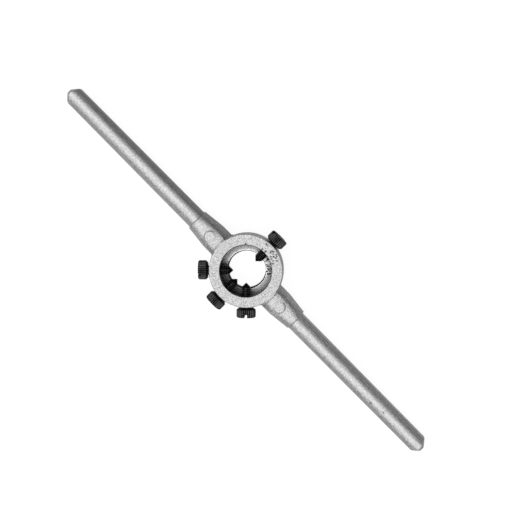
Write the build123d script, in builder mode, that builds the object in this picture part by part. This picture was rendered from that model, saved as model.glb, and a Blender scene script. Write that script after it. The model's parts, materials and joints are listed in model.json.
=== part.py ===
from build123d import *
import os

# A stock for 20 mm round threading dies: one zinc casting with a ring and two arms, and four knurled screws.
# The ring's back face lies on Z = 0, the ring's axis is Z, the arms run along X,
# and the screw that holds the die by its dimple points along Y. All sizes are in millimetres.

# Round die and its seat
die_diameter = 20.0
die_thickness = 7.0
die_side_clearance = 0.1
lip_thickness = 4.0
passage_diameter = 14.5
passage_chamfer = 0.35
mouth_chamfer = 0.25

# Ring and arms of the casting
ring_diameter = 29.0
ring_front_draft = 0.12
ring_back_draft = 0.3
ring_edge_radius = 0.4
overall_length = 195.0
arm_root_diameter = 7.8
arm_tip_diameter = 7.4
arm_side_offset = 0.12
nose_length = 2.3
nose_flat_radius = 0.9
nose_blend_radius = 1.2
nose_tip_radius = 0.8

# Neck between ring and arm: flat above and below, with elliptical sides, and nearly round at the shoulder
neck_flat_width = 4.0
neck_width = 10.6
neck_face_inset = 0.25
neck_parallel_length = 4.0
shoulder_distance = 27.4
shoulder_flat_width = 0.8
shoulder_diameter = 8.9
shoulder_edge_chamfer = 0.3
neck_root_radius = 0.5
mark_diameter = 4.4
mark_height = 0.2
mark_distance = 19.4
mark_edge_chamfer = 0.1

# Knurled screws
screw_diameter = 4.0
thread_clearance = 0.05
screw_length = 13.5
point_flat_radius = 0.12
head_diameter = 7.5
head_length = 3.75
head_inner_chamfer = 0.75
head_outer_chamfer = 0.35
knurl_count = 28
knurl_depth = 0.36
slot_width = 1.2
slot_depth = 1.25

# The gap left under each screw's head
clamping_screw_gap = 0.35
closing_screw_left_gap = 0.35
spreading_screw_gap = 0.2
closing_screw_right_gap = 0.15

# Where each screw stands round the ring, and how far its slot is turned, in degrees
clamping_screw_angle = 90
closing_screw_left_angle = 225
spreading_screw_angle = 270
closing_screw_right_angle = 315
clamping_slot_angle = 35
closing_left_slot_angle = 60
spreading_slot_angle = 20
closing_right_slot_angle = 90
screw_places = {
    "clamping_screw": (clamping_screw_angle, clamping_screw_gap, clamping_slot_angle),
    "closing_screw_left": (closing_screw_left_angle, closing_screw_left_gap, closing_left_slot_angle),
    "spreading_screw": (spreading_screw_angle, spreading_screw_gap, spreading_slot_angle),
    "closing_screw_right": (closing_screw_right_angle, closing_screw_right_gap, closing_right_slot_angle),
}

# Sizes worked out from the ones above
ring_radius = ring_diameter / 2
ring_height = lip_thickness + die_thickness
seat_radius = die_diameter / 2 + die_side_clearance
passage_radius = passage_diameter / 2
wall_middle_radius = (seat_radius + ring_radius) / 2
arm_height = ring_height / 2
neck_height = ring_height - 2 * neck_face_inset
screw_height = lip_thickness + die_thickness / 2
screw_radius = screw_diameter / 2
head_radius = head_diameter / 2
arm_tip_distance = overall_length / 2
neck_taper_start = ring_radius + neck_parallel_length

# Margins for picking the neck's edges, and for a blank that reaches past the head's teeth
edge_margin = 0.01
blank_margin = 0.1

os.makedirs("parts", exist_ok=True)


def neck_section(distance, flat_width, width, height):
    """The neck's section across X at this distance: a flat top and bottom joined by two half ellipses."""
    half_flat = flat_width / 2
    side_reach = width / 2 - half_flat
    half_height = height / 2
    with BuildSketch(Plane.YZ.offset(distance)) as section:
        with BuildLine(Location((0, arm_height))):
            Line((-half_flat, half_height), (half_flat, half_height))
            EllipticalCenterArc((half_flat, 0), side_reach, half_height, -90, arc_size=180)
            Line((half_flat, -half_height), (-half_flat, -half_height))
            EllipticalCenterArc((-half_flat, 0), side_reach, half_height, 90, arc_size=180)
        make_face()
    return section.sketch


# One arm with its neck, running along X from inside the ring's wall to the blunt nose
with BuildPart() as arm:
    parallel_start = neck_section(wall_middle_radius, neck_flat_width, neck_width, neck_height)
    taper_start = neck_section(neck_taper_start, neck_flat_width, neck_width, neck_height)
    shoulder = neck_section(shoulder_distance, shoulder_flat_width, shoulder_diameter, shoulder_diameter)
    extrude(parallel_start, amount=neck_taper_start - wall_middle_radius)
    loft([taper_start, shoulder])
    chamfer(arm.faces().sort_by(Axis.X)[-1].edges(), shoulder_edge_chamfer)

    # The round arm tapers slightly to its tip, and its nose is a blunt cone
    arm_axis_plane = Plane(origin=(0, -arm_side_offset, arm_height), x_dir=(1, 0, 0), z_dir=(0, -1, 0))
    with BuildSketch(arm_axis_plane) as arm_half_section:
        with BuildLine():
            Polyline(
                (neck_taper_start, 0),
                (neck_taper_start, arm_root_diameter / 2),
                (arm_tip_distance - nose_length, arm_tip_diameter / 2),
                (arm_tip_distance, nose_flat_radius),
                (arm_tip_distance, 0),
                close=True,
            )
        make_face()
        fillet(arm_half_section.vertices().group_by(Axis.X)[-2], nose_blend_radius)
        fillet(arm_half_section.vertices().group_by(Axis.X)[-1].sort_by(Axis.Y)[-1], nose_tip_radius)
    revolve(axis=Axis((0, -arm_side_offset, arm_height), (1, 0, 0)))

    # The round mark that an ejector pin leaves on top of the neck
    with BuildSketch(Plane.XY.offset(arm_height)):
        with Locations((mark_distance, 0)):
            Circle(mark_diameter / 2)
    extrude(amount=neck_height / 2 + mark_height)
    chamfer(arm.faces().sort_by(Axis.Z)[-1].edges(), mark_edge_chamfer)

# The casting: the ring is turned from the section of its wall and lip, and the two arms are joined to it
with BuildPart() as stock_body:
    # This section stands between an arm and a screw, so that its turned faces start clear of both
    ring_section_plane = Plane(origin=(0, 0, 0), x_dir=(1, 1, 0), z_dir=(1, -1, 0))
    with BuildSketch(ring_section_plane) as ring_half_section:
        with BuildLine():
            Polyline(
                (passage_radius, 0),
                (ring_radius - ring_back_draft, 0),
                (ring_radius, ring_height / 2),
                (ring_radius - ring_front_draft, ring_height),
                (seat_radius + mouth_chamfer, ring_height),
                (seat_radius, ring_height - mouth_chamfer),
                (seat_radius, lip_thickness),
                (passage_radius + passage_chamfer, lip_thickness),
                (passage_radius, lip_thickness - passage_chamfer),
                close=True,
            )
        make_face()
        front_corners = ring_half_section.vertices().group_by(Axis.Y)[-1]
        fillet(front_corners.sort_by(Axis.X)[-1], ring_edge_radius)
    revolve(axis=Axis.Z)
    add(arm.part)
    add(arm.part, rotation=(0, 0, 180))
    neck_roots = stock_body.edges().filter_by(
        lambda edge: wall_middle_radius < abs(edge.center().X) < ring_radius + edge_margin
        and abs(edge.center().Y) < neck_width / 2 + edge_margin
        and abs(edge.center().Z - arm_height) < neck_height / 2 + edge_margin
    )
    fillet(neck_roots, neck_root_radius)
    for angle, gap, slot_turn in screw_places.values():
        outward = Vector(1, 0, 0).rotate(Axis.Z, angle)
        hole_plane = Plane(origin=(0, 0, screw_height), x_dir=(0, 0, 1), z_dir=outward)
        with BuildSketch(hole_plane.offset(passage_radius)):
            Circle(screw_radius + thread_clearance)
        extrude(amount=ring_radius, mode=Mode.SUBTRACT)
stock_body.part.label = "stock_body"
export_step(stock_body.part, "parts/stock_body.step")


def toothed_outline(plane):
    """The knurled head's outline on this plane: a ring of V teeth."""
    corners = []
    for tooth in range(knurl_count):
        tip = Vector(head_radius, 0)
        root = Vector(head_radius - knurl_depth, 0)
        corners.append(tip.rotate(Axis.Z, tooth * 360 / knurl_count))
        corners.append(root.rotate(Axis.Z, (tooth + 0.5) * 360 / knurl_count))
    with BuildSketch(plane) as outline:
        with BuildLine():
            Polyline(corners, close=True)
        make_face()
    return outline.sketch


def polygon_outline(plane, flat_radius):
    """A polygon on this plane, with one flat for each tooth of the knurl."""
    with BuildSketch(plane) as outline:
        RegularPolygon(flat_radius, knurl_count, major_radius=False, rotation=180 / knurl_count)
    return outline.sketch


def knurled_screw(angle, gap, slot_turn):
    """A slotted screw with a cone point, standing in its hole with a gap under its head."""
    outward = Vector(1, 0, 0).rotate(Axis.Z, angle)
    shank_length = screw_length - head_length
    tip_distance = ring_radius + gap - shank_length
    tip = outward * tip_distance + Vector(0, 0, screw_height)
    section_plane = Plane(origin=tip, x_dir=(0, 0, 1), z_dir=Vector(0, 0, 1).cross(outward))
    across_plane = Plane(origin=tip, x_dir=(0, 0, 1), z_dir=outward)
    with BuildPart() as screw:
        with BuildSketch(section_plane):
            with BuildLine():
                Polyline(
                    (0, 0),
                    (point_flat_radius, 0),
                    (screw_radius, screw_radius - point_flat_radius),
                    (screw_radius, shank_length),
                    (0, shank_length),
                    close=True,
                )
            make_face()
        revolve(axis=Axis(tip, outward))

        # The knurled head is a toothed bar, and a blank chamfered at both ends trims its teeth
        inner_face = across_plane.offset(shank_length)
        inner_chamfer_end = across_plane.offset(shank_length + head_inner_chamfer + blank_margin)
        outer_chamfer_end = across_plane.offset(screw_length - head_outer_chamfer - blank_margin)
        outer_face = across_plane.offset(screw_length)
        chamfered_outlines = [
            polygon_outline(inner_face, head_radius - head_inner_chamfer),
            polygon_outline(inner_chamfer_end, head_radius + blank_margin),
            polygon_outline(outer_chamfer_end, head_radius + blank_margin),
            polygon_outline(outer_face, head_radius - head_outer_chamfer),
        ]
        with BuildPart():
            extrude(toothed_outline(inner_face), amount=head_length)
            loft(chamfered_outlines, ruled=True, mode=Mode.INTERSECT)

        with BuildSketch(across_plane.rotated((0, 0, slot_turn)).offset(screw_length)):
            Rectangle(slot_width, head_diameter)
        extrude(amount=-slot_depth, mode=Mode.SUBTRACT)
    return screw


for node, place in screw_places.items():
    screw = knurled_screw(*place)
    screw.part.label = node
    export_step(screw.part, f"parts/{node}.step")
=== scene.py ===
import json
import math

import bmesh
import bpy
import numpy as np
from mathutils import Matrix, Vector


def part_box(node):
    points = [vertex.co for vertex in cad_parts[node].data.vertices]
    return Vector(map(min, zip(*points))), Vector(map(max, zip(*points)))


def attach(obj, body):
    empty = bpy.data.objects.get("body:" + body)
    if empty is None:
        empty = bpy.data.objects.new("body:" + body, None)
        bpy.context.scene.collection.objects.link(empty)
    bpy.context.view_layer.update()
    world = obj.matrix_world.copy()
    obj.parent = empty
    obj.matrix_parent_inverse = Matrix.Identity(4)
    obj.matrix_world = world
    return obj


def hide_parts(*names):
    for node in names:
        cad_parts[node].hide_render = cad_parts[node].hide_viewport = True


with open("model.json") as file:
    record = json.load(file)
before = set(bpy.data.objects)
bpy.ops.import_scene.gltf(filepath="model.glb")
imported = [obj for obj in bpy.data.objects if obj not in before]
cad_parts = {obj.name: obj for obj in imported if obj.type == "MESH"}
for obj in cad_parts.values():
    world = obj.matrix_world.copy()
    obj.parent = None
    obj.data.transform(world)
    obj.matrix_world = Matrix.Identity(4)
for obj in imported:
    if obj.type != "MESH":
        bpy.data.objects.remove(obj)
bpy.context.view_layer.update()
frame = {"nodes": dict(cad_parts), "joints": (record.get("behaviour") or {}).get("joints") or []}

# The casting is one piece of zinc: a ring with a recessed seat for the die, two necks and two tapering arms.
# It is die cast, so its edges are soft and its skin is sandy, and then blasted to a satin grey.
# The ring is its section turned about Z, each arm is a section carried along X, and all are joined.
MM = 0.001
upwards = np.array([0.0, 0.0, 1.0])
arm_reach, _, ring_height = np.array(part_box("stock_body")[1]) / MM

# The ring's sizes in millimetres, and the steps of its mesh
ring_radius = 14.5
ring_front_draft = 0.12
ring_back_draft = 0.3
ring_edge = 0.4
seat_radius = 10.1
seat_mouth = 0.25
seat_corner = 0.2
lip_thickness = 4.0
passage_radius = 7.25
passage_rim = 0.35
passage_back_edge = 0.2
rim_radius = passage_radius + passage_rim
rim_flat = 0.12
fine_edge = 0.08
outline_step = 0.35
points_round_corner = 6
ring_fine_step = math.radians(0.6)
ring_plain_step = math.radians(1.5)
pitted_sector = (math.radians(30), math.radians(142))
sliver = 0.0005


def outline_points(corners, step, closed):
    """Points along an outline of (across, along, rounding) corners. Straight runs are cut into equal steps no
    longer than step. A rounding is a quadratic curve, which meets both sides that far from the corner:
    (1 - s)(1 - s) * first end + 2 s (1 - s) * corner + s s * last end, for s from 0 to 1."""
    corners = np.array(corners, float)
    count = len(corners)
    stretches = []
    for k in range(count):
        here, reach = corners[k, :2], corners[k, 2]
        before, after = corners[k - 1, :2], corners[(k + 1) % count, :2]
        if reach and (closed or 0 < k < count - 1):
            enter = here + (before - here) / np.linalg.norm(before - here) * reach
            leave = here + (after - here) / np.linalg.norm(after - here) * reach
            s = np.linspace(0, 1, points_round_corner)[:, None]
            stretches.append((1 - s) ** 2 * enter + 2 * s * (1 - s) * here + s**2 * leave)
        else:
            stretches.append(here[None, :])
    joined = []
    for k, stretch in enumerate(stretches):
        joined.append(stretch)
        if closed or k < count - 1:
            start, end = stretch[-1], stretches[(k + 1) % count][0]
            cuts = max(1, math.ceil(np.linalg.norm(end - start) / step))
            joined.append(start + (end - start) * (np.arange(1, cuts) / cuts)[:, None])
    return np.concatenate(joined)


def turned_ring():
    """The ring: its section's (radius, height) points, each turned about Z into the circle
    (radius * cos turn, radius * sin turn, height), with closer steps in the pitted sector."""
    section = outline_points([
        (ring_radius - ring_back_draft, 0, ring_edge),
        (ring_radius, ring_height / 2, 0),
        (ring_radius - ring_front_draft, ring_height, ring_edge),
        (seat_radius + seat_mouth, ring_height, fine_edge),
        (seat_radius, ring_height - seat_mouth, fine_edge),
        (seat_radius, lip_thickness, seat_corner),
        (rim_radius + rim_flat, lip_thickness, 0),
        (rim_radius, lip_thickness, 0),
        (passage_radius, lip_thickness - passage_rim, fine_edge),
        (passage_radius, 0, passage_back_edge),
    ], outline_step, closed=True)
    fine_start, fine_end = pitted_sector
    fine = np.arange(fine_start, fine_end, ring_fine_step)
    plain = np.arange(fine_end, fine_start + 2 * math.pi, ring_plain_step)
    turn = np.concatenate([fine, plain])
    radius, height = section[:, :1], section[:, 1:]
    return np.stack([radius * np.cos(turn), radius * np.sin(turn), height + 0 * turn], -1)


def shell(name, rings, wrapped=False):
    """A closed mesh object, in metres, from rings of points in millimetres shaped (stations, around, 3).
    Neighbouring rings are joined by quads. The last ring joins the first if wrapped, and otherwise triangles
    close each end to its mean point. The faces are turned round if the volume they enclose is negative."""
    stations, around = rings.shape[:2]
    points = rings.reshape(-1, 3)
    index = np.arange(len(points)).reshape(stations, around)
    index = np.concatenate([index, index[:1]]) if wrapped else index
    beside = np.roll(index, -1, axis=1)
    quads = np.stack([index[:-1], beside[:-1], beside[1:], index[1:]], -1).reshape(-1, 4)
    triangles = np.concatenate([quads[:, [0, 1, 2]], quads[:, [0, 2, 3]]])
    fans = np.zeros((0, 3), int)
    if not wrapped:
        first, last = len(points), len(points) + 1
        points = np.concatenate([points, [rings[0].mean(0), rings[-1].mean(0)]])
        fans = np.concatenate([
            np.stack([beside[0], index[0], np.full(around, first)], -1),
            np.stack([index[-1], beside[-1], np.full(around, last)], -1),
        ])
        triangles = np.concatenate([triangles, fans])
    a, b, c = (points[triangles[:, k]] for k in range(3))
    if np.einsum("ij,ij->", a, np.cross(b, c)) < 0:
        quads, fans = quads[:, ::-1], fans[:, ::-1]
    mesh = bpy.data.meshes.new(name)
    mesh.from_pydata((points * MM).tolist(), [], quads.tolist() + fans.tolist())
    mesh.update()
    piece = bpy.data.objects.new(name, mesh)
    bpy.context.scene.collection.objects.link(piece)
    return piece


def combined(piece, others, operation):
    """Joins the other shells to the piece, or cuts it by them, and takes out the slivers that this leaves.
    The others are used up."""
    for other in others:
        change = piece.modifiers.new(other.name, "BOOLEAN")
        change.operation = operation
        change.solver = "MANIFOLD"
        change.object = other
    bpy.context.view_layer.update()
    result = piece.evaluated_get(bpy.context.evaluated_depsgraph_get())
    piece.data = bpy.data.meshes.new_from_object(result)
    piece.modifiers.clear()
    cleaned = bmesh.new()
    cleaned.from_mesh(piece.data)
    bmesh.ops.dissolve_degenerate(cleaned, dist=sliver * MM, edges=cleaned.edges)
    cleaned.to_mesh(piece.data)
    cleaned.free()
    for other in others:
        bpy.data.objects.remove(other)


def smooth_step(value, start, end):
    """0 before start and 1 past end, and 3 t t - 2 t t t between them. Start may be the greater."""
    t = np.clip((value - start) / (end - start), 0, 1)
    return t * t * (3 - 2 * t)


# The sizes of the necks and arms in millimetres. What differs between the two sides is listed by direction.
neck_start = 12.0
neck_flat_half = 2.2
neck_side_reach = 3.35
neck_half_height = 5.25
neck_crown_share = 0.3
neck_parallel_end = 18.5
neck_root = 0.5
neck_step = 0.25
shoulder_distance = 27.4
shoulder_radius = 4.45
shoulder_edge = 0.35
shoulder_edge_stations = 5
shoulder_face_stations = 4
buried = 0.02
arm_height = ring_height / 2
arm_root_radius = 3.9
arm_tip_radius = 3.7
arm_root_fillet = 0.25
arm_step = 0.52
points_round_arm = 120
nose_start = arm_reach - 2.3
nose_flat_radius = 0.9
nose_blend = 0.9
nose_tip = 0.4
nose_edge = 1.2
nose_squareness = 4.0
nose_end_shares = np.array([0.7, 0.4, 0.1])
mark_distance = 19.2
mark_side = -0.5
mark_radius = 2.2
mark_height = 0.04
mark_edge = 0.2
side_shifts = {1: -0.28, -1: -0.04}
neck_shift_share = 0.5
swells = {1: 1.005, -1: 1.025}
leans = {1: 0.0, -1: 0.06}
parting_step = 0.22
parting_margin = 1.0


def neck_stations():
    """The neck's stations along X, from inside the ring's wall to the shoulder's rounded edge: their places,
    the half width of the crowned flat, and the half width and half height of the round beside it. These stay
    the same to the end of the parallel part and change evenly from there to the shoulder, whose edge is a
    quarter circle."""
    bend = np.linspace(0, math.pi / 2, shoulder_edge_stations)
    plain = np.arange(neck_start, shoulder_distance - shoulder_edge, neck_step)
    x = np.append(plain, shoulder_distance - shoulder_edge * (1 - np.sin(bend)))
    cut_back = np.append(0 * plain, shoulder_edge * (1 - np.cos(bend)))
    share = np.clip((x - neck_parallel_end) / (shoulder_distance - neck_parallel_end), 0, 1)
    flat = (1 - share) * neck_flat_half
    side = (1 - share) * neck_side_reach + share * shoulder_radius - cut_back
    up = (1 - share) * neck_half_height + share * shoulder_radius - cut_back
    return x, flat, side, up


def arm_stations():
    """The round arm's stations along X, from the shoulder's face to the end of the nose: their places, the
    evenly tapering radius, the half width of the plan, which narrows at the nose, and the half height, which
    keeps the taper up to a last edge that is a quarter circle."""
    face = np.linspace(
        shoulder_radius - shoulder_edge, arm_root_radius + arm_root_fillet, shoulder_face_stations)[1:]
    plan_x, plan_side = outline_points([
        (shoulder_distance, arm_root_radius + arm_root_fillet, 0),
        (shoulder_distance, arm_root_radius, arm_root_fillet),
        (nose_start, arm_tip_radius, nose_blend),
        (arm_reach, nose_flat_radius, nose_tip),
    ], arm_step, closed=False)[1:].T
    taper = arm_root_radius + (plan_x - shoulder_distance) * (arm_tip_radius - arm_root_radius) / (
        nose_start - shoulder_distance)
    whole = np.maximum(taper, plan_side)
    rounding = np.clip((plan_x - arm_reach + nose_edge) / nose_edge, 0, 1)
    blunt = whole - nose_edge * (1 - np.sqrt(1 - rounding**2))
    x = np.concatenate([
        np.full(len(face), shoulder_distance), plan_x, np.full(len(nose_end_shares), arm_reach)])
    side, limit, up = (
        np.concatenate([face, sizes, sizes[-1] * nose_end_shares]) for sizes in (whole, plan_side, blunt))
    return x, side, limit, up


def held_in_plan(across, side, limit):
    """A round section's places across, whose greatest is side, held under the plan's half width, the limit: a
    place a becomes a / (1 + a^p (limit^-p - side^-p))^(1/p), where p is the nose's squareness."""
    size = np.abs(across)
    squeeze = limit**-nose_squareness - side**-nose_squareness
    return np.sign(across) * size / (1 + size**nose_squareness * squeeze) ** (1 / nose_squareness)


def as_cast(direction, x, y, z, half_width):
    """The y and z of one arm's points with the faults of this casting. The arm is shifted to a side and
    swollen, and its top leans to a side by a share of its height. Above the middle plane its +Y side is cut
    back, as the die's halves were offset: y loses the share parting_step / (half width + parting_margin)."""
    on_arm = x >= shoulder_distance
    swell = np.where(on_arm, swells[direction], 1)
    y = direction * y * swell + side_shifts[direction] * np.where(on_arm, 1, neck_shift_share)
    z = z * swell
    y = y + leans[direction] * np.maximum(z, 0) * on_arm
    return np.where((y > 0) & (z > 0), y * (1 - parting_step / (half_width + parting_margin)), y), z


def carried_arm(direction):
    """One neck and arm towards +X or -X: a section carried along X. A section's points round the turn t are
    y = flat * s / sqrt(s s + c c) + side * s and z = up * cos t, where s = sin t and c is the crown's share.
    That is a crowned flat with elliptical sides, and a circle once flat is 0 and side equals up. It flares
    into the ring by R - sqrt(R R - (R - d)(R - d)) at a distance d from it, a fillet of radius R. The mark
    that an ejector pin leaves is a flat disc on the crown."""
    neck_x, neck_flat, neck_side, neck_up = neck_stations()
    arm_x, arm_side, arm_limit, arm_up = arm_stations()
    x = np.append(neck_x, arm_x)[:, None]
    flat = np.append(neck_flat, 0 * arm_side)[:, None]
    side = np.append(neck_side, arm_side)[:, None]
    limit = np.append(neck_side, arm_limit)[:, None]
    up = np.append(neck_up, arm_up)[:, None]
    turn = np.arange(points_round_arm) * 2 * math.pi / points_round_arm
    crowned = flat * np.sin(turn) / np.sqrt(np.sin(turn) ** 2 + neck_crown_share**2)
    y = crowned + held_in_plan(side * np.sin(turn), side, limit)
    z = up * np.cos(turn)
    from_ring = np.clip(np.hypot(x, y) - ring_radius, 0, neck_root)
    flare = neck_root - np.sqrt(neck_root**2 - (neck_root - from_ring) ** 2)
    widened = 1 + flare / np.hypot(y, z)
    y, z = y * widened, z * widened
    from_mark = np.hypot(x - mark_distance, y - direction * mark_side)
    on_mark = smooth_step(from_mark, mark_radius + mark_edge, mark_radius - mark_edge) * (z > 0)
    z = z + on_mark * (neck_half_height + mark_height - z)
    z = np.clip(z, buried - arm_height, arm_height - buried)
    y, z = as_cast(direction, x, y, z, flat + limit)
    return np.stack([direction * x + 0 * y, y, z + arm_height], -1)


# The four tapped holes, which the threads of the screws fill
screw_hole_radius = 2.05
screw_height = 7.5
points_round_hole = 64


def screw_hole(outward):
    """A screw's hole as two rings of points: circles round the screw's line, of the hole's radius, the first
    inside the seat and the second outside the ring."""
    across = np.cross(outward, upwards)
    turn = np.arange(points_round_hole)[:, None] * 2 * math.pi / points_round_hole
    circle = screw_hole_radius * (np.cos(turn) * across + np.sin(turn) * upwards)
    start = outward * seat_radius / 2 + upwards * screw_height
    return np.stack([start + circle, start + circle + outward * ring_radius])


casting = shell("zinc_casting", turned_ring(), wrapped=True)
combined(casting, [shell(f"arm_{side:+d}", carried_arm(side)) for side in (1, -1)], "UNION")
holes = [
    shell(f"hole_{joint['child']}", screw_hole(np.array(joint["axis"], float)))
    for joint in frame["joints"]
]
combined(casting, holes, "DIFFERENCE")

# The casting's skin. Depths and places are in millimetres, and headings round the ring in degrees.
# A tone multiplies the colour, and several tones are painted light and shade. A pair of edges says where an
# effect starts and where it is full.
grain_depth = 0.02
grain_cell = 0.5
grain_seed = 5
machined_share = 0.25
seat_margin = 0.1
pit_depth = 0.3
pit_floor_share = 0.3
pit_facing = 0.3
pit_tone = 0.1
porous_heading = 53
porous_edges = (29, 20.3)
porous_cell = 0.34
porous_seed = 8
porous_noise_edges = (0.0, 0.3)
# A painted highlight lifts the colour between the pores of the patch.
porous_painted_highlight = 0.4
seam_height = 7.5
seam_depth = 0.08
seam_edges = (0.24, 0.08)
seam_tone = 0.45
ring_tone = 0.89
# Painted shade and light in the seat: the recess darker than the face, darkest at the foot of its wall and
# brighter towards the passage.
recess_shade_tone = 0.58
lip_wall_shade_tone = 0.7
lip_passage_light_tone = 1.6
# A painted shadow darkens the seat round this heading, on its lower side.
seat_shadow_heading = 267
seat_shadow_edges = (67, 53)
seat_shadow_tone = 0.25
# A painted highlight along the passage's rim.
rim_highlight_edges = (0.6, 0.1)
rim_highlight_tone = 1.8
# A painted shadow: a dark line along the rim, left off the side towards the light.
rim_margin = 0.05
rim_lit_heading = 90
rim_shade_edges = (50, 70)
rim_shade_tone = 0.03
mark_tone = 0.93
mark_tone_edges = (0.1, -0.1)
# A painted shadow: a dark crescent round each mark on its +Y side.
mark_shadow_tone = 0.78
mark_shadow_edges = (0.4, 0.1)
mark_shadow_start = 0.3
mark_top_depth = 1.0
# Painted shade on the +Y flanks of the necks and arms, darker on the -X side.
neck_shade_edges = (2.2, 3.0)
neck_painted_shades = {1: 0.88, -1: 0.7}
arm_shade_edges = (1.8, 2.5)
arm_painted_shades = {1: 0.95, -1: 0.7}
arm_sand = 0.7
arm_streak = 1.6

# The pits: heading round the ring, distance from its axis and radius. The last two lie on the right arm.
pits = [
    (98, 13.25, 0.36), (95, 13.2, 0.32), (98, 10.85, 0.36), (90, 10.95, 0.42), (82.5, 12.9, 0.36),
    (80, 13.25, 0.36), (82, 12.0, 0.36), (84, 12.3, 0.28), (77, 12.6, 0.28), (75.5, 11.3, 0.3),
    (72.5, 12.25, 0.4), (71, 11.1, 0.36), (69, 12.7, 0.3), (73.5, 13.55, 0.34), (70.5, 13.4, 0.28),
    (64, 12.85, 0.34), (61, 10.9, 0.38), (66, 11.4, 0.28), (135, 10.45, 0.5), (359.3, 76.6, 0.5),
    (358.4, 70.7, 0.55),
]


def smooth_noise(points, cell, seed, lattice=64):
    """A random field from -1 to 1: random numbers on a cubic lattice of that cell size, blended between the
    eight corners round each point by the curve 3 t t - 2 t t t."""
    table = np.random.default_rng(seed).uniform(-1, 1, (lattice, lattice, lattice))
    low = np.floor(points / cell).astype(int)
    t = points / cell - low
    t = t * t * (3 - 2 * t)
    field = np.zeros(len(points))
    for corner in np.ndindex(2, 2, 2):
        weight = np.where(np.array(corner) == 1, t, 1 - t).prod(axis=1)
        x, y, z = ((low + corner) % lattice).T
        field += weight * table[x, y, z]
    return field


def away_from(angle, heading):
    """How far an angle lies from a heading, both in degrees, the short way round."""
    return np.abs((angle - heading + 180) % 360 - 180)


def tinted(tone, share):
    """1 where the share is 0 and the tone where it is 1, and evenly between."""
    return 1 - (1 - tone) * share


def vectors_of(collection, kind):
    """The vectors of that kind in a mesh's collection, as an array shaped (count, 3)."""
    values = np.zeros(len(collection) * 3)
    collection.foreach_get(kind, values)
    return values.reshape(-1, 3)


def round_pits(points, normals):
    """How deep each point that faces up lies in one of the pits, from 0 at its edge to 1 on its floor."""
    hollow = np.zeros(len(points))
    for heading, distance, size in pits:
        turn = math.radians(heading)
        centre = (distance * math.cos(turn), distance * math.sin(turn))
        reach = np.hypot(points[:, 0] - centre[0], points[:, 1] - centre[1])
        hollow = np.maximum(hollow, smooth_step(reach, size, pit_floor_share * size))
    return hollow * (normals[:, 2] > pit_facing)


def seat_tones(from_axis, angle):
    """The tones of the seat and the lip, which are painted light and shade: a painted shade over the recess
    that is darkest at the wall and brighter towards the passage, a painted shadow on the lower side, a
    painted highlight on the rim, and a painted dark line along the rim except on the side that catches the
    light."""
    inwards = smooth_step(from_axis, seat_radius, passage_radius)
    tones = recess_shade_tone * tinted(seat_shadow_tone, smooth_step(away_from(angle, seat_shadow_heading), *seat_shadow_edges))
    tones *= lip_wall_shade_tone + (lip_passage_light_tone - lip_wall_shade_tone) * inwards
    tones *= tinted(rim_highlight_tone, smooth_step(from_axis - rim_radius, *rim_highlight_edges))
    shaded = smooth_step(away_from(angle, rim_lit_heading), *rim_shade_edges)
    return tones + (rim_shade_tone - tones) * shaded * (from_axis < rim_radius + rim_margin)


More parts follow.
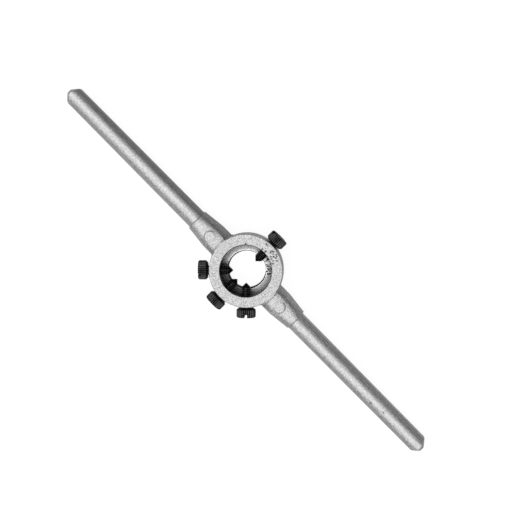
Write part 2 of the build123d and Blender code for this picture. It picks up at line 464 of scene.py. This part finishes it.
def skin(mesh):
    """Moves every point inwards along its normal by the sandy grain of the casting, less inside the seat,
    and by its flaws: the round pits, the porous patch in the seat, and a shallow groove along each arm's +Y
    side, where the flash of the die's seam was trimmed off. It writes three attributes: the tone of the
    colour, which also carries painted shade, shadows and highlights, how sandy the grain is, and the place
    where its pattern is read, drawn out along the arms."""
    points, normals = vectors_of(mesh.vertices, "co") / MM, vectors_of(mesh.vertex_normals, "vector")
    x, y, z = points.T
    from_axis = np.hypot(x, y)
    angle = np.degrees(np.arctan2(y, x))
    in_seat = (from_axis < seat_radius + seat_margin) & (z < ring_height - seat_mouth / 2)
    on_arms = np.abs(x) > shoulder_distance
    on_necks = (from_axis > ring_radius) & ~on_arms
    grain = smooth_noise(points, grain_cell, grain_seed)
    in_patch = in_seat * smooth_step(away_from(angle, porous_heading), *porous_edges)
    porous = in_patch * smooth_step(smooth_noise(points, porous_cell, porous_seed), *porous_noise_edges)
    hollow = np.maximum(round_pits(points, normals) * ~in_seat, porous)
    seam = on_arms * (y > 0) * smooth_step(np.abs(z - seam_height), *seam_edges)
    depth = grain_depth * np.where(in_seat, machined_share, 1) * (1 + grain) / 2
    depth += pit_depth * hollow + seam_depth * seam
    mesh.vertices.foreach_set("co", ((points - normals * depth[:, None]) * MM).ravel())

    on_ring = smooth_step(from_axis, neck_parallel_end, ring_radius)
    tone = np.where(in_seat, seat_tones(from_axis, angle), tinted(ring_tone, on_ring))
    from_edge = np.hypot(np.abs(x) - mark_distance, y - mark_side) - mark_radius
    on_top = z > ring_height - mark_top_depth
    # The dark crescent on each mark's +Y side is a painted shadow.
    mark_shadow = on_top * (y > mark_side + mark_shadow_start) * smooth_step(np.abs(from_edge), *mark_shadow_edges)
    tone *= tinted(mark_tone, on_top * smooth_step(from_edge, *mark_tone_edges))
    tone *= tinted(mark_shadow_tone, mark_shadow)
    # The +Y flanks of the necks and arms are darkened by painted shade.
    for direction in (1, -1):
        this_side = direction * x > 0
        on_neck_flank = this_side * on_necks * smooth_step(y, *neck_shade_edges)
        on_arm_flank = this_side * on_arms * smooth_step(y, *arm_shade_edges)
        tone *= tinted(neck_painted_shades[direction], on_neck_flank) * tinted(arm_painted_shades[direction], on_arm_flank)
    # Between the pores of the patch the colour is lifted by a painted highlight.
    tone *= tinted(pit_tone, hollow) * (1 + porous_painted_highlight * (in_patch - porous)) * tinted(seam_tone, seam)
    mesh.attributes.new("tone", "FLOAT", "POINT").data.foreach_set("value", tone)

    sandy = arm_sand + (1 - arm_sand) * smooth_step(np.abs(x), shoulder_distance, neck_parallel_end)
    mesh.attributes.new("sand", "FLOAT", "POINT").data.foreach_set("value", sandy)
    drawn_out = np.sign(x) * np.maximum(np.abs(x) - neck_parallel_end, 0) * (1 - 1 / arm_streak)
    place = np.stack([x - drawn_out, y, z], -1) * MM
    mesh.attributes.new("grain_place", "FLOAT_VECTOR", "POINT").data.foreach_set("vector", place.ravel())
    mesh.update()


def feed(tree, made, **inputs):
    """Gives a shader node its inputs: a number or colour sets a socket, and a socket is linked to it. An
    underscore in a name stands for a space, and _0, _1 and _2 are sockets by number."""
    for name, value in inputs.items():
        socket = made.inputs[int(name[1:])] if name[1:].isdigit() else made.inputs[name.replace("_", " ")]
        if isinstance(value, bpy.types.NodeSocket):
            tree.links.new(value, socket)
        else:
            socket.default_value = value


def node(tree, kind, group=None, **inputs):
    """A shader node of that kind, or a group's own node, with these inputs."""
    made = tree.nodes.new(kind)
    if group:
        made.node_tree = group
    feed(tree, made, **inputs)
    return made


def worked_out(tree, operation, *terms):
    """What a Math node makes of these terms, each of them a number or a socket."""
    made = node(tree, "ShaderNodeMath", **{f"_{place}": term for place, term in enumerate(terms)})
    made.operation = operation
    return made.outputs[0]


def attribute(tree, name):
    """The outputs of a node that reads the mesh's attribute of that name."""
    made = node(tree, "ShaderNodeAttribute")
    made.attribute_name = name
    return made.outputs


def finished(name):
    """A new material, with its node tree and its Principled shader."""
    material = bpy.data.materials.new(name)
    material.use_nodes = True
    return material, material.node_tree, material.node_tree.nodes["Principled BSDF"]


def dressed(piece, material, crease):
    """Gives the piece its material and shades it smooth, but for edges sharper than the crease in degrees."""
    piece.data.shade_smooth()
    piece.data.set_sharp_from_angle(angle=math.radians(crease))
    piece.data.materials.clear()
    piece.data.materials.append(material)


def speckle_group():
    """A node group for a grained skin, which both metals use. One fine noise is the bump's height, and less
    its mean it makes the tone 1 + Contrast * noise and the roughness Roughness + Roughness Spread * noise."""
    group = bpy.data.node_groups.new("speckle", "ShaderNodeTree")
    group.interface.new_socket("Vector", in_out="INPUT", socket_type="NodeSocketVector")
    for name in ("Scale", "Contrast", "Roughness", "Roughness Spread", "Bump"):
        group.interface.new_socket(name, in_out="INPUT", socket_type="NodeSocketFloat")
    for name in ("Tone", "Roughness"):
        group.interface.new_socket(name, in_out="OUTPUT", socket_type="NodeSocketFloat")
    group.interface.new_socket("Normal", in_out="OUTPUT", socket_type="NodeSocketVector")
    given = node(group, "NodeGroupInput").outputs
    noise = node(
        group, "ShaderNodeTexNoise", Vector=given["Vector"], Scale=given["Scale"], Detail=2, Roughness=0.7,
    ).outputs["Fac"]
    centred = worked_out(group, "SUBTRACT", noise, 0.5)
    bump = node(group, "ShaderNodeBump", Strength=1.0, Distance=given["Bump"], Height=noise)
    node(
        group, "NodeGroupOutput",
        Tone=worked_out(group, "MULTIPLY_ADD", centred, given["Contrast"], 1.0),
        Roughness=worked_out(group, "MULTIPLY_ADD", centred, given["Roughness Spread"], given["Roughness"]),
        Normal=bump.outputs["Normal"])
    return group


skin(casting.data)

# Satin zinc: two greys in soft blotches under a fine sandy speckle
zinc_dull = 0.61
zinc_bright = 0.66
sand_contrast = 2.9
speckle = speckle_group()
zinc, tree, principled = finished("cast_zinc")
place = attribute(tree, "grain_place")["Vector"]
blotch = node(tree, "ShaderNodeTexNoise", Vector=place, Scale=700, Detail=4, Roughness=0.6)
grey = node(
    tree, "ShaderNodeMapRange", Value=blotch.outputs["Fac"], From_Min=0.3, From_Max=0.7,
    To_Min=zinc_dull, To_Max=zinc_bright)
contrast = worked_out(tree, "MULTIPLY", attribute(tree, "sand")["Fac"], sand_contrast)
grained = node(
    tree, "ShaderNodeGroup", speckle, Vector=place, Scale=2600, Contrast=contrast,
    Roughness=0.46, Roughness_Spread=0.5, Bump=0.00013)
toned = worked_out(tree, "MULTIPLY", grey.outputs["Result"], attribute(tree, "tone")["Fac"])
feed(
    tree, principled, Base_Color=worked_out(tree, "MULTIPLY", toned, grained.outputs["Tone"]), Metallic=0.9,
    Roughness=grained.outputs["Roughness"], Normal=grained.outputs["Normal"])
dressed(casting, zinc, crease=38)
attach(casting, "stock")
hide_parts("stock_body")

# Each screw is turned from steel bar: a cone point, an M4 thread and a knurled head with a screwdriver slot.
# It is blackened with black oxide and screwed into the ring's wall. Four of them hold and adjust the die.
screw_length = 13.5
crest_radius = 2.0
root_radius = 1.57
pitch = 0.7
root_flat = pitch / 4
point_flat = 0.12
head_length = 3.75
head_radius = 3.75
head_inner_chamfer = 0.75
head_outer_chamfer = 0.35
head_centre_radius = 0.3
knurl_count = 28
knurl_depth = 0.36
slot_width = 1.2
slot_depth = 1.25
slot_block_reach = 4.5
slot_block_height = 2.5
slot_turns = {
    "clamping_screw": 35, "closing_screw_left": 60, "spreading_screw": 20, "closing_screw_right": 90,
}
samples_per_tooth = 6
thread_step = pitch / 8
cone_steps = 8
face_steps = 3
inner_chamfer_steps = 4
band_steps = 8
outer_chamfer_steps = 3
end_steps = 5


def screw_surface():
    """Radius over (distance from the tip, angle): the least of the turned profile, the thread and the knurl.
    The thread's radius rises from root to crest by the square root of 3, the slope of a 60 degree V, times
    the distance from the edge of the root's flat. The flat moves one pitch along in a turn. The knurl is a
    V groove repeated round the head."""
    shank = screw_length - head_length
    cone = np.linspace(point_flat, root_radius, cone_steps + 1)
    thread = np.arange(root_radius + thread_step, shank, thread_step)
    face = np.linspace(crest_radius, head_radius - head_inner_chamfer, face_steps + 1)
    chamfer = np.linspace(0, head_inner_chamfer, inner_chamfer_steps + 1)[1:]
    band = np.linspace(head_inner_chamfer, head_length - head_outer_chamfer, band_steps + 1)[1:]
    outer = np.linspace(0, head_outer_chamfer, outer_chamfer_steps + 1)[1:]
    end = np.linspace(head_radius - head_outer_chamfer, head_centre_radius, end_steps + 1)[1:]
    along = np.concatenate([
        cone - point_flat, thread - point_flat, np.full(len(face), shank), shank + chamfer, shank + band,
        screw_length - head_outer_chamfer + outer, np.full(len(end), screw_length)])
    turned = np.concatenate([
        cone, np.minimum(thread, crest_radius), face, head_radius - head_inner_chamfer + chamfer,
        np.full(len(band), head_radius), head_radius - outer, end])
    samples = knurl_count * samples_per_tooth
    angle = np.arange(samples) * 2 * math.pi / samples
    from_root = np.abs((along[:, None] / pitch - angle / (2 * math.pi)) % 1 - 0.5) * pitch
    rise = (from_root - root_flat / 2) * math.sqrt(3)
    thread_form = root_radius + np.clip(rise, 0, crest_radius - root_radius)
    tooth = np.abs((angle * knurl_count / (2 * math.pi)) % 1 - 0.5) * 2
    groove = np.clip(1 - (1 - tooth) * math.pi * head_radius / knurl_count / knurl_depth, 0, 1)
    knurl_form = head_radius - knurl_depth * groove
    on_head = along[:, None] >= shank
    radius = np.minimum(turned[:, None], np.where(on_head, knurl_form, thread_form))
    return along, radius, angle


def screw_rings(start, outward):
    """The screw's surface as rings of points round the line that runs outwards from its tip, the start."""
    along, radius, angle = screw_surface()
    across = np.cross(outward, upwards)
    round_line = np.cos(angle)[:, None] * upwards + np.sin(angle)[:, None] * across
    return start + along[:, None, None] * outward + radius[..., None] * round_line


def slot_block(start, outward, turn):
    """The block that cuts the screwdriver slot, as two rings of four corners: its floor and a ring past the
    head. The slot's long way lies across the screw's line and is turned about it, in degrees."""
    turn = math.radians(turn)
    long_way = math.cos(turn) * np.cross(outward, upwards) - math.sin(turn) * upwards
    short_way = np.cross(long_way, outward)
    sides = np.array([(1, 1), (-1, 1), (-1, -1), (1, -1)])
    corners = sides[:, :1] * short_way * slot_width / 2 + sides[:, 1:] * long_way * slot_block_reach
    floor_ring = start + outward * (screw_length - slot_depth) + corners
    return np.stack([floor_ring, floor_ring + outward * slot_block_height])


# Radii between which the black is rubbed off the knurl and the thread, and how much more it is off the thread
knurl_rub_edges = (head_radius - 0.2, head_radius - 0.02)
thread_rub_edges = (crest_radius - 0.15, crest_radius)
thread_rub = 1.5
thread_margin = 0.01


def rub(mesh, start, outward):
    """Writes how far each point's black is rubbed off, by its distance from the screw's line: from 0 to 1 up
    to the crests of the knurl, and from 0 to thread_rub up to those of the thread."""
    points = vectors_of(mesh.vertices, "co") / MM - start
    along = points @ outward
    radius = np.linalg.norm(points - along[:, None] * outward, axis=1)
    on_knurl = (along > screw_length - head_length) * smooth_step(radius, *knurl_rub_edges)
    on_thread = (radius < crest_radius + thread_margin) * smooth_step(radius, *thread_rub_edges)
    rubbed = on_knurl + thread_rub * on_thread
    mesh.attributes.new("rubbed", "FLOAT", "POINT").data.foreach_set("value", rubbed)


# Blackened steel: a grained black oxide, with the grey of the steel where it is rubbed
oxide_black = 0.003
rubbed_grey = 0.1
steel, tree, principled = finished("blackened_steel")
place = node(tree, "ShaderNodeTexCoord").outputs["Object"]
grained = node(
    tree, "ShaderNodeGroup", speckle, Vector=place, Scale=2300, Contrast=5.0,
    Roughness=0.36, Roughness_Spread=0.6, Bump=0.00008)
oxide = worked_out(tree, "MULTIPLY_ADD", attribute(tree, "rubbed")["Fac"], rubbed_grey, oxide_black)
feed(
    tree, principled, Base_Color=worked_out(tree, "MULTIPLY", oxide, grained.outputs["Tone"]), Metallic=0.5,
    Specular_IOR_Level=0.3, Roughness=grained.outputs["Roughness"], Normal=grained.outputs["Normal"])

for joint in frame["joints"]:
    name, outward = joint["child"], np.array(joint["axis"], float)
    tip = (vectors_of(frame["nodes"][name].data.vertices, "co") @ outward).min() / MM
    start = outward * tip + upwards * screw_height
    screw = shell(f"{name}_threaded", screw_rings(start, outward))
    combined(screw, [shell("slot", slot_block(start, outward, slot_turns[name]))], "DIFFERENCE")
    rub(screw.data, start, outward)
    dressed(screw, steel, crease=40)
    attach(screw, name)
    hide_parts(name)

# The stage is a pale floor under two soft studio lights, the stronger from the lower left of the picture.
# The floor and the sky are about white to the camera, and dimmer to what they light.
# The camera looks down on the ring, tilted a little towards its clamping screw, as the photograph was taken.
floor_half = 3.0
floor_grey = 0.12
floor_glow = 0.38
floor_glow_to_camera = 0.55
sky_light = 0.045
sky_light_to_camera = 0.96

floor_corners = [
    (-floor_half, -floor_half, 0), (floor_half, -floor_half, 0),
    (floor_half, floor_half, 0), (-floor_half, floor_half, 0),
]
floor = bpy.data.objects.new("floor", bpy.data.meshes.new("floor"))
floor.data.from_pydata(floor_corners, [], [(0, 1, 2, 3)])
bpy.context.scene.collection.objects.link(floor)
paper, tree, principled = finished("pale_floor")
to_camera = node(tree, "ShaderNodeLightPath").outputs["Is Camera Ray"]
feed(
    tree, principled, Base_Color=(floor_grey, floor_grey, floor_grey, 1), Roughness=1,
    Emission_Color=(1, 1, 1, 1),
    Emission_Strength=worked_out(tree, "MULTIPLY_ADD", to_camera, floor_glow_to_camera, floor_glow))
floor.data.materials.append(paper)

world = bpy.data.worlds.new("studio")
bpy.context.scene.world = world
world.use_nodes = True
tree = world.node_tree
to_camera = node(tree, "ShaderNodeLightPath").outputs["Is Camera Ray"]
feed(
    tree, tree.nodes["Background"], Color=(1, 1, 1, 1),
    Strength=worked_out(tree, "MULTIPLY_ADD", to_camera, sky_light_to_camera, sky_light))


def softbox(name, tilt, heading, distance, size, power):
    """A rectangular soft light, tilted from the vertical towards a heading round Z, both in degrees."""
    lamp = bpy.data.lights.new(name, "AREA")
    lamp.shape = "RECTANGLE"
    lamp.size, lamp.size_y = size
    lamp.energy = power
    tilt, heading = math.radians(tilt), math.radians(heading)
    away = Vector((math.sin(tilt) * math.cos(heading), math.sin(tilt) * math.sin(heading), math.cos(tilt)))
    holder = bpy.data.objects.new(name, lamp)
    holder.location = away * distance
    holder.rotation_mode = "QUATERNION"
    holder.rotation_quaternion = away.to_track_quat("Z", "Y")
    bpy.context.scene.collection.objects.link(holder)


softbox("key_light", tilt=23, heading=-90, distance=2.0, size=(4.2, 2.8), power=48.5)
softbox("top_light", tilt=9, heading=90, distance=2.0, size=(4.2, 2.6), power=13.5)

# The camera's place follows from where the ring's centre lies in the photograph and from the scale there.
# The picture's size and that centre are in pixels, and the lengths in millimetres but for the clip end.
picture_size = 512
ring_centre_pixel = (246.62, 269.7)
pixels_per_mm = 2.572
picture_roll = math.radians(45.2)
tilt_to_clamping_screw = math.radians(6.5)
tilt_to_left_arm = math.radians(1.3)
camera_distance = 1000.0
look_height = 5.5
sensor_width = 36
clip_end = 20

camera = bpy.data.objects.new("camera", bpy.data.cameras.new("camera"))
bpy.context.scene.collection.objects.link(camera)
bpy.context.scene.camera = camera
towards_camera = Vector((-math.tan(tilt_to_left_arm), math.tan(tilt_to_clamping_screw), 1)).normalized()
picture_up = Vector((-math.sin(picture_roll), math.cos(picture_roll), 0))
picture_up = (picture_up - towards_camera * picture_up.dot(towards_camera)).normalized()
picture_right = picture_up.cross(towards_camera)
off_centre = (picture_size / 2 - ring_centre_pixel[0], ring_centre_pixel[1] - picture_size / 2)
looked_at = (picture_right * off_centre[0] + picture_up * off_centre[1]) / pixels_per_mm
looked_at.z += look_height
turned = Matrix((picture_right, picture_up, towards_camera)).transposed().to_4x4()
camera.matrix_world = Matrix.Translation((looked_at + towards_camera * camera_distance) * MM) @ turned
camera.data.sensor_width = sensor_width
camera.data.lens = sensor_width * pixels_per_mm * camera_distance / picture_size
camera.data.clip_end = clip_end

bpy.context.scene.view_settings.view_transform = "Standard"
